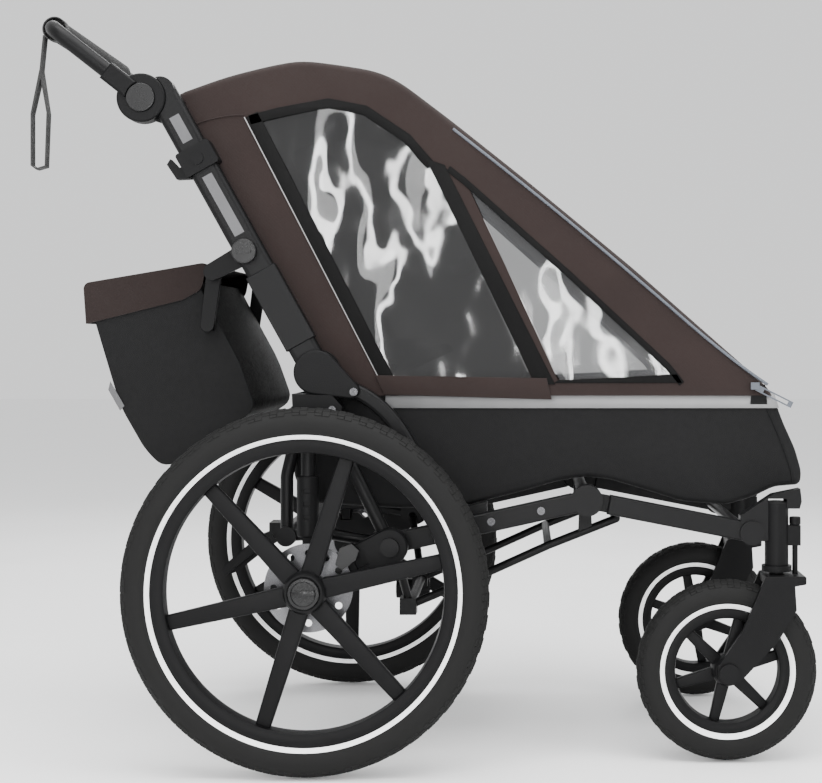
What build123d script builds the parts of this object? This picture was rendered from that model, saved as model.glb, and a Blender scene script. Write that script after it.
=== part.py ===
from build123d import *
import math
import os

# A folding child bicycle trailer that also runs as a stroller: spoked rear wheels on sprung
# swing arms, swivelling front wheels, a fold-down push frame, canopy, tub, seat and rear bag.
# Millimetres. Layout points are (x, z) ahead of the rear axle and above the floor. +X is
# forward, +Y the left side. Export moves everything so the box's bottom centre is the origin.

# ---- driving sizes
rear_wheel_dia = 500.0
rear_tyre_width = 47.0
rear_bead_dia = 406.0
rear_rim_inner = 189.0
rear_half_track = 300.0
front_wheel_dia = 254.0
front_tyre_width = 44.0
front_bead_dia = 166.0
front_rim_inner = 73.0
front_half_track = 208.0
wheelbase = 581.0
fork_trail = 71.0
canopy_half_width = 205.0
tub_half_width = 198.0
seat_half_width = 165.0
bag_half_width = 178.0
side_lane = 225.0  # middle of each upright, sideways
upright_depth = 22.0
upright_breadth = 41.0
handle_tube_dia = 22.0
grip_dia = 31.0
fabric = 2.5
running_gap = 0.05  # round a shaft, each way
body_gap = 0.4  # between faces of pieces that move on each other
slide_gap = 0.3

# ---- layout points, (x, z)
rear_axle = (0.0, rear_wheel_dia / 2)
front_axle = (wheelbase, front_wheel_dia / 2)
arm_pivot = (110.6, 304.6)
mid_hinge = (385.0, 365.0)
front_hinge = (616.0, 320.0)
pod = (7.0, 546.0)
upright_top = (-211.0, 938.0)
handle_joint = (-237.0, 928.0)
handle_bar = (-370.6, 1032.7)
bag_knob = (-93.0, 714.0)
bag_pivot = (-143.0, 687.0)
flap_hinge = (-157.0, 697.0)
bow_hinge = (628.0, 520.0)
bow_tip = (194.0, 878.0)
seat_hinge = (62.0, 500.0)
seat_top = (2.0, 872.0)
pedal_hinge = (-84.0, 292.0)
rear_beam = (-38.0, 315.0)
strut_x = -4.0
strut_lane = 240.0
tow_socket = (88.0, 150.0, 186.0)
tow_socket_length = 54.0
tow_socket_bore = 22.0
strap_drop = 178.0
strap_lean = 26.0

rear_axle_dia = 12.6
front_axle_dia = 10.0
pivot_dia = 16.0
steerer_dia = 20.0
hub_button_dia = 44.0

arm_lane = (236.0, 256.0)
rail_lane = (196.0, 218.0)
steerer_x = front_axle[0] + fork_trail
strap_y = -184.0
strap_width = 16.0
rear_end = handle_bar[0] - strap_lean - 8.0
front_end = wheelbase + front_wheel_dia / 2
origin_x = (rear_end + front_end) / 2


# ---- helpers
def slab(points, y_low, y_high):
    """A flat outline of (x, z) points, thick from y_low to y_high."""
    face = make_face(Polyline(*[(x, y_low, z) for x, z in points], close=True))
    return extrude(face, amount=y_high - y_low, dir=(0, 1, 0))


def disc(centre, radius, y_low, y_high):
    """A round plate or shaft along Y."""
    base = Plane(origin=(centre[0], y_low, centre[1]), z_dir=(0, 1, 0))
    return extrude(base * Circle(radius), amount=y_high - y_low)


def rod(start, end, radius):
    """A straight round bar between two (x, y, z) points."""
    line = Vector(*end) - Vector(*start)
    return extrude(Plane(origin=start, z_dir=line.normalized()) * Circle(radius), amount=line.length)


def link(first, second, first_radius, second_radius, y_low, y_high):
    """A flat link with round ends of two sizes."""
    ends = Pos(first[0], first[1]) * Circle(first_radius)
    ends += Pos(second[0], second[1]) * Circle(second_radius)
    outline = make_hull(ends.edges())
    body = extrude(outline, amount=y_high - y_low)
    return Pos(0, y_high, 0) * (Rot(90, 0, 0) * body)


def bent_tube(points, radius, bend, inner=0.0):
    """A tube along a chain of (x, y, z) points with rounded corners."""
    path = FilletPolyline(*points, radius=bend)
    section = Plane(origin=path @ 0, z_dir=path % 0) * Circle(radius)
    if inner:
        section -= Plane(origin=path @ 0, z_dir=path % 0) * Circle(inner)
    return sweep(section, path=path)


def turned(section, centre, y_centre):
    """Spins (radius, y) points round a Y axis through the (x, z) centre."""
    face = make_face(Polyline(*[(r, y, 0) for r, y in section], close=True))
    return Pos(centre[0], y_centre, centre[1]) * revolve(face, axis=Axis.Y)


def box(x_range, y_range, z_range):
    """A block between three pairs of limits."""
    middle = [(low + high) / 2 for low, high in (x_range, y_range, z_range)]
    size = [high - low for low, high in (x_range, y_range, z_range)]
    return Pos(*middle) * Box(*size)


def mirrored(shape):
    """The same shape on the other side of the trailer."""
    return mirror(shape, about=Plane.XZ)


def both(shape):
    return shape + mirrored(shape)


def along(start, end, share, offset=0.0):
    """A point part of the way between two points, moved square to the line."""
    dx, dz = end[0] - start[0], end[1] - start[1]
    length = math.hypot(dx, dz)
    return (start[0] + dx * share - dz / length * offset, start[1] + dz * share + dx / length * offset)


def beam_outline(start, end, breadth):
    """The four corners of a bar between two points."""
    half = breadth / 2
    return [
        along(start, end, 0, half),
        along(start, end, 1, half),
        along(start, end, 1, -half),
        along(start, end, 0, -half),
    ]


# ---- wheels, drawn on the right side (minus Y)
def tyre(centre, lane, wheel_dia, width, bead_dia):
    """A hollow tyre, open towards the rim."""
    outer, bead = wheel_dia / 2, bead_dia / 2
    half, wall = width / 2, 3.0
    middle = (outer + bead) / 2
    rise = outer - middle
    bead_half = 12.0
    crown = [
        (middle + rise * math.sin(a), half * math.cos(a))
        for a in [math.radians(d) for d in range(0, 181, 15)]
    ]
    hollow = [
        (middle + (rise - wall) * math.sin(a), (half - wall) * math.cos(a))
        for a in [math.radians(d) for d in range(180, -1, -15)]
    ]
    low, neck = bead + body_gap, bead + 6
    section = [(low, bead_half), (neck, bead_half)] + crown + [(neck, -bead_half), (low, -bead_half)]
    section += [(low, wall - bead_half), (neck, wall - bead_half)] + hollow
    section += [(neck, bead_half - wall), (low, bead_half - wall)]
    return turned(section, centre, -lane)


def wheel(centre, lane, rim_inner, bead_dia, hub_radius, hub_half, bore_dia, spoke, phase):
    """A moulded rim, six flat spokes and a hub with a bore."""
    bead = bead_dia / 2
    flange, half = 5.0, 15.0
    rim = [
        (rim_inner, -half + 3), (rim_inner, half - 3), (rim_inner + 3, half), (bead + flange, half),
        (bead + flange, half - 2.5), (bead, half - 2.5), (bead - 3, half - 5), (bead - 3, 5 - half),
        (bead, 2.5 - half), (bead + flange, 2.5 - half), (bead + flange, -half), (rim_inner + 3, -half),
    ]
    shape = turned(rim, centre, -lane)
    shape += disc(centre, hub_radius, -lane - hub_half, -lane + hub_half)
    wide, narrow, thick = spoke
    for number in range(6):
        angle = math.radians(phase + 60 * number)
        root = (centre[0] + (hub_radius - 8) * math.cos(angle), centre[1] + (hub_radius - 8) * math.sin(angle))
        tip = (
            centre[0] + (rim_inner + 2) * math.cos(angle),
            centre[1] + (rim_inner + 2) * math.sin(angle),
        )
        outline = [
            along(root, tip, 0, wide / 2), along(root, tip, 1, narrow / 2),
            along(root, tip, 1, -narrow / 2), along(root, tip, 0, -wide / 2),
        ]
        shape += slab(outline, -lane - thick / 2, -lane + thick / 2)
    return shape - disc(centre, bore_dia / 2 + running_gap, -lane - 80, -lane + 80)


def rear_wheel(phase):
    """The rear wheel with the pocket for its release button."""
    shape = wheel(rear_axle, rear_half_track, rear_rim_inner, rear_bead_dia, 28.0, 17.0, rear_axle_dia,
                  (26.0, 21.0, 14.0), phase)
    pocket = disc(rear_axle, hub_button_dia / 2 + slide_gap, -rear_half_track - 18, -rear_half_track - 9)
    return shape - pocket


def rear_hub_button():
    """The round button that lets the rear wheel off its axle."""
    face = -rear_half_track - 20
    return disc(rear_axle, hub_button_dia / 2, face, face + 7)


def brake_rotor():
    """A slotted brake disc on a flange at the hub's inner end."""
    inner = -rear_half_track + 17
    plate = disc(rear_axle, 61.0, inner + 17, inner + 19)
    for number in range(12):
        angle = math.radians(30 * number)
        spot = (rear_axle[0] + 48 * math.cos(angle), rear_axle[1] + 48 * math.sin(angle))
        plate -= disc(spot, 5.0, inner + 15, inner + 21)
    plate += disc(rear_axle, 24.0, inner, inner + 17)
    return plate - disc(rear_axle, rear_axle_dia / 2 + running_gap, inner - 1, inner + 21)


def front_wheel(phase):
    """The small front wheel."""
    return wheel(front_axle, front_half_track, front_rim_inner, front_bead_dia, 20.0, 24.0, front_axle_dia,
                 (17.0, 14.0, 12.0), phase)


# ---- suspension
def swing_arm():
    """A trailing arm with the stub axle that carries the rear wheel."""
    low, high = -arm_lane[1], -arm_lane[0]
    arm = link(arm_pivot, rear_axle, 25.0, 24.0, low, high)
    arm = fillet(arm.edges().filter_by(GeomType.LINE, reverse=True).group_by(Axis.Y)[0], 3.0)
    for share in (0.36, 0.62):
        x, z = along(arm_pivot, rear_axle, share)
        window = Pos(x, low, z) * (Rot(0, -26, 0) * Box(17, 12, 17))
        arm -= window
    arm += slab([(-26, 262), (-26, 292), (-20, 300), (16, 300), (30, 288), (30, 262)], low, high)
    arm -= box((strut_x - 9.5, strut_x + 9.5), (low - 1, high + 1), (287.5, 310))
    arm -= disc(arm_pivot, pivot_dia / 2 + running_gap, low - 1, high + 1)
    arm += disc(rear_axle, rear_axle_dia / 2, -rear_half_track - 9.5, low + 1)
    return arm


def strut_sleeve():
    """The outer cup of the spring strut, with adjusting slots."""
    cup = rod((strut_x, -strut_lane, 318), (strut_x, -strut_lane, 402), 15.5)
    cup = fillet(cup.edges(), 2.0)
    cup += box((strut_x - 7, strut_x + 7), (-strut_lane - 8, -strut_lane + 8), (290, 320))
    cup -= rod((strut_x, -strut_lane, 330), (strut_x, -strut_lane, 410), 10.0 + running_gap)
    for height in (346, 364, 382):
        cup -= box((strut_x - 5, strut_x + 5), (-strut_lane - 20, -strut_lane - 12), (height - 3, height + 3))
    return cup


def brake_caliper():
    """A caliper body astride the brake disc."""
    low, high = -276.0, -arm_lane[1]
    block = slab([(38, 284), (47, 276), (66, 290), (70, 303), (60, 312), (44, 306)], low, high)
    block += slab([(20, 262), (34, 252), (60, 286), (46, 300)], high - 5, high)
    rotor_gap = disc(rear_axle, 62.5, -rear_half_track + 32, -rear_half_track + 38)
    return block - rotor_gap


# ---- fixed frame
def frame_rails():
    """The rear rails, mid hinge cheeks, their cross tube and the pins of the swing arms."""
    low, high = -rail_lane[1], -rail_lane[0]
    rail = slab(beam_outline(arm_pivot, mid_hinge, 28.0), low, high)
    rail = fillet(rail.edges().filter_by(Axis.Y, reverse=True), 3.0)
    rail += slab([(216, 338), (244, 344), (244, 363.1), (216, 355.9)], -205, -191)
    rail += disc(arm_pivot, 20.0, low, high)
    rail += disc(mid_hinge, 22.0, low, high - 11 - body_gap)
    rail -= disc(mid_hinge, 24.0, high - 11 - body_gap, high + 1)
    rail += disc(mid_hinge, 9.0, low, high)
    rail += disc(arm_pivot, pivot_dia / 2, -arm_lane[1] - 2, low)
    rail += disc(arm_pivot, 13.0, -arm_lane[1] - 5, -arm_lane[1] - body_gap)
    cross = disc(mid_hinge, 9.0, high - 1, -high + 1)
    return both(rail) + cross


def rear_crossbeam():
    """The tube that ties the two sides together behind the axle, and its uprights."""
    lane = -208.0
    leg = bent_tube([(rear_beam[0], lane, rear_beam[1]), (rear_beam[0], lane, 400), (-14, lane, 500)], 9.0, 40.0)
    leg += slab([(-24, 484), (-24, 500), (-6, 526), (10, 512), (6, 484)], lane - 4, lane + 7)
    tie = bent_tube([(rear_beam[0], lane, rear_beam[1]), (20, lane, 318), (96, lane, 305)], 8.0, 30.0)
    beam = disc(rear_beam, 14.0, lane - 12, -lane + 12)
    mount = box((-93, -44), (-21, 21), (301, 312))
    mount += box((-93, -74), (-21, -15), (283, 306)) + box((-93, -74), (15, 21), (283, 306))
    mount -= disc(pedal_hinge, 4.0 + running_gap, -30, 30)
    return both(leg + tie) + beam + mount


def underframe_hoop():
    """Two thin tubes under the tub that carry the tow socket, tied to the mid hinge tube."""
    lane = -133.5
    side = bent_tube([(130, lane, 205), (251, lane, 256), (331, lane, 292), (430, lane, 331)], 6.0, 60.0)
    side += box((116, 140), (lane - 15, lane + 15), (193, 217))
    hanger = slab([(375, 312), (395, 318), (393, 360), (377, 360)], lane - 5, lane + 5)
    side += hanger
    brace = rod((130, lane, 205), (112, -190, 296), 6.0)
    cross = rod((331, lane, 292), (331, -lane, 292), 6.0)
    cross += rod((430, lane, 331), (430, -lane, 331), 6.0)
    cross += rod((130, lane, 205), (130, -lane, 205), 7.0)
    brace += rod((112, -190, 296), (110, -200, 300), 6.0)
    return both(side + brace) + cross


def tow_socket_bore_space():
    """The round space inside the tow socket, which nothing else may enter."""
    x, y, z = tow_socket
    return rod((x + 4, y, z), (x + tow_socket_length + 1, y, z), tow_socket_bore / 2)


def tow_arm_socket():
    """The tube that takes the tow arm, on the left side, open to the front."""
    x, y, z = tow_socket
    socket = rod((x, y, z), (x + tow_socket_length, y, z), 16.0)
    socket = chamfer(socket.edges(), 1.0)
    socket -= tow_socket_bore_space()
    lug = box((116, 140), (y - 1.4, y + 10), (z + 14, z + 26))
    return socket + lug


def pod_housings():
    """The fold hinges: two cheeks and a pin each side, with a leg below."""
    outer = -side_lane - upright_depth / 2 - body_gap
    inner = -side_lane + upright_depth / 2 + body_gap
    ear = (55.0, 521.0)
    shell = link(pod, ear, 31.0, 12.0, outer - 8.6, outer)
    shell = fillet(shell.edges().group_by(Axis.Y)[0], 3.0)
    shell += disc(pod, 31.0, inner, inner + 6)
    leg = slab([(-26, 516), (30, 514), (44, 498), (38, 476), (-24, 476)], outer - 8.6, inner + 6)
    return both(shell + leg - disc(pod, 25.5, outer, inner) + disc(pod, 9.0, outer - 2, inner + 2))


def side_legs():
    """The slanted tubes to the swing arm pivots and the fixed rods of the struts."""
    lane = -side_lane
    slanted = rod((24, lane, 478), (100, lane, 322), 9.5)
    foot = slab([(86, 322), (112, 328), (120, 308), (96, 300)], -rail_lane[1] - 14, -rail_lane[1])
    inner_rod = rod((strut_x, -strut_lane, 344), (strut_x, -strut_lane, 478), 10.0)
    return both(slanted + foot + inner_rod)


def curved_arms():
    """The bowed side arms from the pods down to the rear rails."""
    lane = -223.0
    points = [(55, lane, 521), (101.5, lane, 490), (131, lane, 450), (152, lane, 404), (176, lane, 347)]
    path = Spline(*points)
    section = Plane(origin=path @ 0, z_dir=path % 0, x_dir=(0, 1, 0)) * RectangleRounded(16, 22, 6)
    arm = sweep(section, path=path)
    boss = disc((55, 521), 12.0, -236.4, -215)
    foot = slab([(160, 352), (190, 358), (196, 332), (168, 326)], lane - 8, -rail_lane[1])
    return both(arm + boss + foot)


def frame_fixings():
    """Screw heads along the rails and legs."""
    heads = None
    for spot, y in (((320, 351), 218), ((250, 336), 218), ((30, 494), 245), ((60, 519), 245)):
        head = disc(spot, 5.5, -y - 2.6, -y)
        head -= disc(spot, 2.4, -y - 3, -y - 1.2)
        heads = head if heads is None else heads + head
    return both(heads)


# ---- tub and seat
tub_outline = [
    (-30, 515), (-30, 396), (-8, 360), (120, 352), (215, 356), (300, 378), (380, 398), (450, 384),
    (520, 362), (583, 357), (651, 384), (688, 386), (690, 404), (681, 436), (663, 476), (649, 515),
]


def tub_shell():
    """The open fabric tub under the canopy, with a deep footwell in front."""
    outer = slab(tub_outline, -tub_half_width, tub_half_width)
    floor = outer.edges().filter_by(GeomType.LINE).filter_by(Axis.Y, reverse=True)
    outer = fillet([e for e in floor if e.center().Z < 514], 6.0)
    inside = offset(make_face(Polyline(*[(x, z) for x, z in tub_outline], close=True)), amount=-fabric)
    hollow = Rot(90, 0, 0) * extrude(inside, amount=2 * (tub_half_width - fabric))
    hollow = Pos(0, tub_half_width - fabric, 0) * hollow
    mouth = box((-30 + fabric, 649), (fabric - tub_half_width, tub_half_width - fabric), (500, 520))
    mouth &= Pos(0, 0, 0) * slab(
        [(-30 + fabric, 495), (-30 + fabric, 520), (646, 520), (658 - fabric, 480)],
        fabric - tub_half_width, tub_half_width - fabric,
    )
    return outer - hollow - mouth


def seat_pan():
    """The padded seat inside the tub."""
    low = [(-20, 452), (70, 440), (300, 452), (316, 462), (312, 484), (290, 492), (90, 478), (-18, 486)]
    pad = slab(low, -seat_half_width, seat_half_width)
    pad = fillet(pad.edges().filter_by(Axis.Y), 8.0)
    legs = slab([(20, 361.1), (40, 359.9), (40, 447), (20, 447)], -150, 150)
    legs += slab([(262, 371.1), (282, 376.3), (282, 453), (262, 453)], -150, 150)
    x, z = seat_hinge
    ear = slab([(x - 10, 462), (x + 10, 462), (x + 10, 476), (x - 10, 476)], -seat_half_width - 11, -seat_half_width + 5)
    ear += slab([(x - 10, 462), (x + 10, 462), (x + 8, z + 7), (x - 8, z + 7)], -seat_half_width - 11,
                -seat_half_width - body_gap)
    ear += disc(seat_hinge, 4.0, -seat_half_width - 11, -seat_half_width + 12)
    return pad + legs + both(ear)


def side_wings():
    """Padded panels that line both sides of the seat."""
    outline = [(52, 500), (84, 500), (130, 540), (190, 572), (182, 594), (120, 604), (70, 594), (50, 560)]
    wing = slab(outline, -193.0, -181.0)
    wing = fillet(wing.edges().filter_by(Axis.Y), 10.0)
    tab = slab([(58, 480), (84, 480), (84, 520), (58, 520)], fabric - tub_half_width, -190.0)
    return both(wing + tab)


def seat_back():
    """The reclined seat back, hinged at its base."""
    outline = beam_outline(along(seat_hinge, seat_top, 0.06), seat_top, 34.0)
    pad = slab(outline, -seat_half_width, seat_half_width)
    pad = fillet(pad.edges().filter_by(Axis.Y), 14.0)
    pad += disc(seat_hinge, 9.0, -seat_half_width, seat_half_width)
    pad += slab(beam_outline(seat_hinge, along(seat_hinge, seat_top, 0.1), 12.0), -seat_half_width, seat_half_width)
    return pad - both(disc(seat_hinge, 4.0 + running_gap, -seat_half_width - 1, -seat_half_width + 12.4))


# ---- canopy
canopy_outline = [
    (34, 518), (7, 546), (-205, 928), (-200, 940), (-124, 964), (-60, 980), (-18, 987), (38, 980),
    (86, 972), (120, 957), (194, 901), (296, 820), (450, 693), (601, 560), (660, 530), (662, 518),
]
window_outline = [
    (100, 530), (-94, 898), (-80, 912), (20, 928), (72, 918), (132, 878), (168, 838), (310, 530),
]
front_window_outline = [(212, 818), (356, 690), (500, 556), (520, 530), (346, 530), (268, 700)]


def canopy_shell():
    """The fabric hood over the tub, with side and front windows cut out."""
    outer = slab(canopy_outline, -canopy_half_width, canopy_half_width)
    inside = offset(make_face(Polyline(*[(x, z) for x, z in canopy_outline], close=True)), amount=-fabric)
    hollow = Rot(90, 0, 0) * extrude(inside, amount=2 * (canopy_half_width - fabric))
    shell = outer - Pos(0, canopy_half_width - fabric, 0) * hollow
    shell -= box((20, 655), (fabric - canopy_half_width, canopy_half_width - fabric), (510, 526))
    for outline in (window_outline, front_window_outline):
        shell -= slab(outline, -canopy_half_width - 5, canopy_half_width + 5)
    shell -= front_panel(0.0)
    return shell


def front_panel(inset):
    """The block that the front window fills, a little smaller by the inset."""
    half = canopy_half_width - 45 - inset
    return slab(
        [along((180, 912), (618, 545), share, side) for share, side in
         ((0.04, 30), (0.96, 30), (0.96, -22), (0.04, -22))],
        -half, half,
    )


def side_windows():
    """Thin clear panels that close the side cut-outs."""
    panes = None
    for outline in (window_outline, front_window_outline):
        flat = offset(make_face(Polyline(*[(x, z) for x, z in outline], close=True)), amount=-slide_gap)
        pane = Pos(0, -canopy_half_width + 2, 0) * (Rot(90, 0, 0) * extrude(flat, amount=1.2))
        panes = pane if panes is None else panes + pane
    return both(panes)


def front_window():
    """The clear sheet in the sloping front."""
    half = canopy_half_width - 45 - slide_gap
    start, end = (194, 901), (601, 560)
    sheet = [
        along(start, end, 0.03, -1.2), along((296, 820), (450, 693), 0, -1.2), along((296, 820), (450, 693), 1, -1.2),
        along(start, end, 0.94, -1.2),
    ]
    back = [along(start, end, 0.94, -3.0), (449, 691), (295, 818), along(start, end, 0.03, -3.0)]
    return slab(sheet + [(x, z - 0.6) for x, z in back], -half, half)


def roof_bow():
    """The two arms that hold the canopy's front slope up, hinged at the front and joined only by the cloth."""
    lane = -188.0
    side = bent_tube([(bow_hinge[0], lane, bow_hinge[1]), (430, lane, 690), (bow_tip[0], lane, bow_tip[1])], 7.0, 60.0)
    side += disc(bow_hinge, 8.5, lane - 4, lane + 7)
    side -= disc(bow_hinge, 4.0 + running_gap, lane - 9, lane + 9)
    return both(side)


def bow_pins():
    """The pins at the tub's front edge that the bow turns on."""
    pin = disc(bow_hinge, 4.0, -201.8, -181.0)
    x, z = bow_hinge
    stand = slab([(x - 12, z - 20), (x + 12, z - 20), (x + 9, z + 8), (x - 9, z + 8)], -201.8, -tub_half_width)
    return both(pin + stand)


def zip_puller():
    """A zip slider with its loop, near the canopy's front corner."""
    y = -canopy_half_width
    slider = box((616, 628), (y - 4.6, y - slide_gap), (521, 531))
    loop = slab(beam_outline((624, 524), (674, 499), 9.0), y - 3.4, y - 1.8)
    return slider + loop - slab(beam_outline((634, 519), (668, 502), 5.0), y - 4, y - 1)


# ---- push frame
def uprights():
    """The two oval side tubes that turn in the pods."""
    low = -side_lane - upright_depth / 2
    high = -side_lane + upright_depth / 2
    base = along(pod, upright_top, 0.04)
    tube = slab(beam_outline(base, upright_top, upright_breadth), low, high)
    tube = fillet(tube.edges().filter_by(Axis.Y, reverse=True), 8.0)
    tube += disc(pod, 24.0, low, high)
    tube -= disc(pod, 9.0 + running_gap, low - 1, high + 1)
    tube += disc(upright_top, 20.0, low, high)
    socket = slab(beam_outline(along(pod, upright_top, 0.1), along(pod, upright_top, 0.36), 45.0), low - 2, high)
    tube += fillet(socket.edges().filter_by(Axis.Y, reverse=True), 1.5)
    tube -= disc(handle_joint, 34.0 + 2 * slide_gap, low - 1, body_gap - side_lane)
    return both(tube) - upright_joints() - upright_strips()


def upright_strips():
    """Light inlays on the outer faces of the upper uprights."""
    face = -side_lane - upright_depth / 2
    strip = slab(beam_outline(along(pod, upright_top, 0.49), along(pod, upright_top, 0.7), 15.0), face, face + 1.2)
    strip += slab(beam_outline(along(pod, upright_top, 0.82), along(pod, upright_top, 0.91), 15.0), face, face + 1.2)
    return both(strip)


def upright_joints():
    """Handle joint cheeks, bag knob bosses, bag arms and the upper cross tube."""
    low = -side_lane - upright_depth / 2
    high = -side_lane + upright_depth / 2
    cheek = disc(handle_joint, 34.0, -side_lane + 0.4, high)
    cheek += disc(handle_joint, 8.0, low + 1, -side_lane + 1)
    cheek += slab([(-196, 890), (-180, 925), (-205, 950), (-232, 940), (-228, 900)], -side_lane + 0.4, high + 3)
    arm = link(bag_knob, bag_pivot, 15.0, 12.0, high + body_gap, high + 8)
    arm += disc(bag_knob, 7.0, low - 6.5, high + 4)
    arm += disc(bag_pivot, 5.0, high + 7, high + 24)
    cross = disc(along(pod, upright_top, 0.88, 12.0), 7.5, high, -high)
    return both(cheek + arm) + cross


def bag_lock_knob():
    """The round quarter-turn knob on the outside of the upright."""
    low = -side_lane - upright_depth / 2
    knob = disc(bag_knob, 17.5, low - 9, low - body_gap)
    knob = fillet(knob.edges().group_by(Axis.Y)[0], 2.0)
    knob -= disc(bag_knob, 7.0 + running_gap, low - 6.5 - slide_gap, low)
    grip = slab(beam_outline((bag_knob[0] - 10, bag_knob[1]), (bag_knob[0] + 10, bag_knob[1]), 5.0), low - 10.5, low - 8)
    return knob + grip


def release_slider():
    """The sliding collar that frees the fold, with a finger hook to the rear."""
    low = -side_lane - upright_depth / 2
    high = -side_lane + upright_depth / 2
    start, end = along(pod, upright_top, 0.72), along(pod, upright_top, 0.80)
    collar = slab(beam_outline(start, end, upright_breadth + 10), low - 4, high + 4)
    collar = fillet(collar.edges().filter_by(Axis.Y), 4.0)
    hook = slab([along(pod, upright_top, share, side) for share, side in
                 ((0.715, 22), (0.735, 40), (0.79, 42), (0.8, 34), (0.765, 30), (0.755, 22))],
                -side_lane - 8, -side_lane + 8)
    bore = slab(beam_outline(along(pod, upright_top, 0.6), along(pod, upright_top, 0.95),
                             upright_breadth + 2 * slide_gap), low - slide_gap, high + slide_gap)
    middle = along(start, end, 0.5)
    button = disc(middle, 9.0, low - 5.5, low - 3.9)
    return collar + hook + button - bore


# ---- handle
def handle_bar_tube():
    """The U-shaped push bar."""
    lane = -(side_lane + 7)
    x, z = handle_joint
    start = along(handle_joint, handle_bar, 0.24)
    points = [(start[0], lane, start[1]), (handle_bar[0], lane, handle_bar[1]),
              (handle_bar[0], -lane, handle_bar[1]), (start[0], -lane, start[1])]
    return bent_tube(points, handle_tube_dia / 2, 42.0)


def handle_hubs():
    """The discs that clamp the push bar at each side."""
    low, high = -side_lane - 15.0, -side_lane
    hub = disc(handle_joint, 34.0, low, high)
    hub = fillet(hub.edges().group_by(Axis.Y)[0], 3.0)
    sleeve = slab(beam_outline(along(handle_joint, handle_bar, 0.1), along(handle_joint, handle_bar, 0.36), 27.0),
                  low - 5.4, high + 3.0)
    hub += fillet(sleeve.edges().filter_by(Axis.Y, reverse=True), 4.0)
    hub -= disc(handle_joint, 34.0 + 2 * slide_gap, high, high + 9)
    hub -= disc(handle_joint, 20.0 + slide_gap, low - 6, low + 4)
    hub -= disc(handle_joint, 8.0 + running_gap, low - 1, high + 4)
    start = along(handle_joint, handle_bar, 0.24)
    stop = along(handle_joint, handle_bar, 0.5)
    lane = -(side_lane + 7)
    hub -= rod((start[0], lane, start[1]), (stop[0], lane, stop[1]), handle_tube_dia / 2)
    return both(hub)


def handle_button():
    """The round button in the middle of a handle joint."""
    low = -side_lane - 15.0
    return fillet(disc(handle_joint, 20.0, low - 3.0, low + 0.9).edges().group_by(Axis.Y)[0], 1.5)


def handle_grip():
    """The foam sleeve round the cross part of the push bar."""
    half = side_lane + 7 - 46
    sleeve = disc(handle_bar, grip_dia / 2, -half, half)
    sleeve = fillet(sleeve.edges(), 3.0)
    return sleeve - disc(handle_bar, handle_tube_dia / 2, -half - 1, half + 1)


def wrist_strap():
    """A flat web loop that hangs from the grip."""
    x, z = handle_bar
    reach = grip_dia / 2
    ring = disc(handle_bar, reach + 0.3 + 1.6, strap_y - 8, strap_y + 8) - disc(handle_bar, reach + 0.3,
                                                                                strap_y - 9, strap_y + 9)
    neck = slab(beam_outline((x - 15, z - 9), (x - 20, z - 60), 3.0), strap_y - 8, strap_y + 8)
    outer = [(x - 21.5, z - 58), (x - strap_lean - 8, z - 120), (x - strap_lean - 8, z - strap_drop - 16),
             (x - strap_lean, z - strap_drop - 22), (x - 12, z - strap_drop - 18), (x - 9, z - 120), (x - 18.5, z - 58)]
    inner = [(x - 20, z - 70), (x - strap_lean - 5.8, z - 121), (x - strap_lean - 5.8, z - strap_drop - 15),
             (x - strap_lean, z - strap_drop - 19.6), (x - 14, z - strap_drop - 16), (x - 11.4, z - 119)]
    loop = slab(outer, strap_y - 8, strap_y + 8) - slab(inner, strap_y - 9, strap_y + 9)
    return ring + neck + loop


# ---- rear bag
bag_outline = [
    (-316, 615), (-280, 496), (-243, 431), (-216, 407), (-86, 492), (-110, 560), (-160, 652), (-172, 676),
    (-308, 658),
]


def bag_shell():
    """The open-topped luggage bag behind the uprights, with hanging eyes."""
    body = slab(bag_outline, -bag_half_width, bag_half_width)
    body = fillet([e for e in body.edges().filter_by(Axis.Y) if e.center().Z < 600], 8.0)
    inner = offset(make_face(Polyline(*[(x, z) for x, z in bag_outline], close=True)), amount=-fabric)
    hollow = Pos(0, bag_half_width - fabric, 0) * (
        Rot(90, 0, 0) * extrude(inner, amount=2 * (bag_half_width - fabric)))
    mouth = slab([(-303, 640), (-303, 690), (-178, 690), (-175, 650)], fabric - bag_half_width,
                 bag_half_width - fabric)
    ear = link(bag_pivot, (-153, 612), 11.0, 10.0, -197.0, -190.4)
    ear += box((-160, -146), (-196, -bag_half_width + 1), (604, 620))
    ear -= disc(bag_pivot, 5.0 + running_gap, -210, -180)
    return body - hollow - mouth + both(ear + flap_hinge_lug())


def bag_flap():
    """The lid of the bag, hinged along its front edge."""
    half = bag_half_width + 2.6
    lid = slab([(-157, 701), (-165, 704), (-333, 671), (-329, 614), (-325.5, 614), (-328, 665), (-165, 695)],
               -half, half)
    skirt = slab([(-158, 700), (-333, 671), (-329, 614), (-192, 647), (-164, 662)], -half, -half + 2)
    lid += both(skirt) + disc(flap_hinge, 4.0, -150.0, 150.0)
    lid -= both(box((-182, -140), (-162, -150), (640, 720)))
    return lid - both(disc(flap_hinge, 2.0 + running_gap, -151, -146))


def flap_hinge_lug():
    """A loop on the bag that carries one end of the lid's hinge rod."""
    lug = link(flap_hinge, (-175, 668), 6.0, 5.0, -160.0, -150.0 - body_gap)
    return lug + disc(flap_hinge, 2.0, -152, -146.5)


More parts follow.
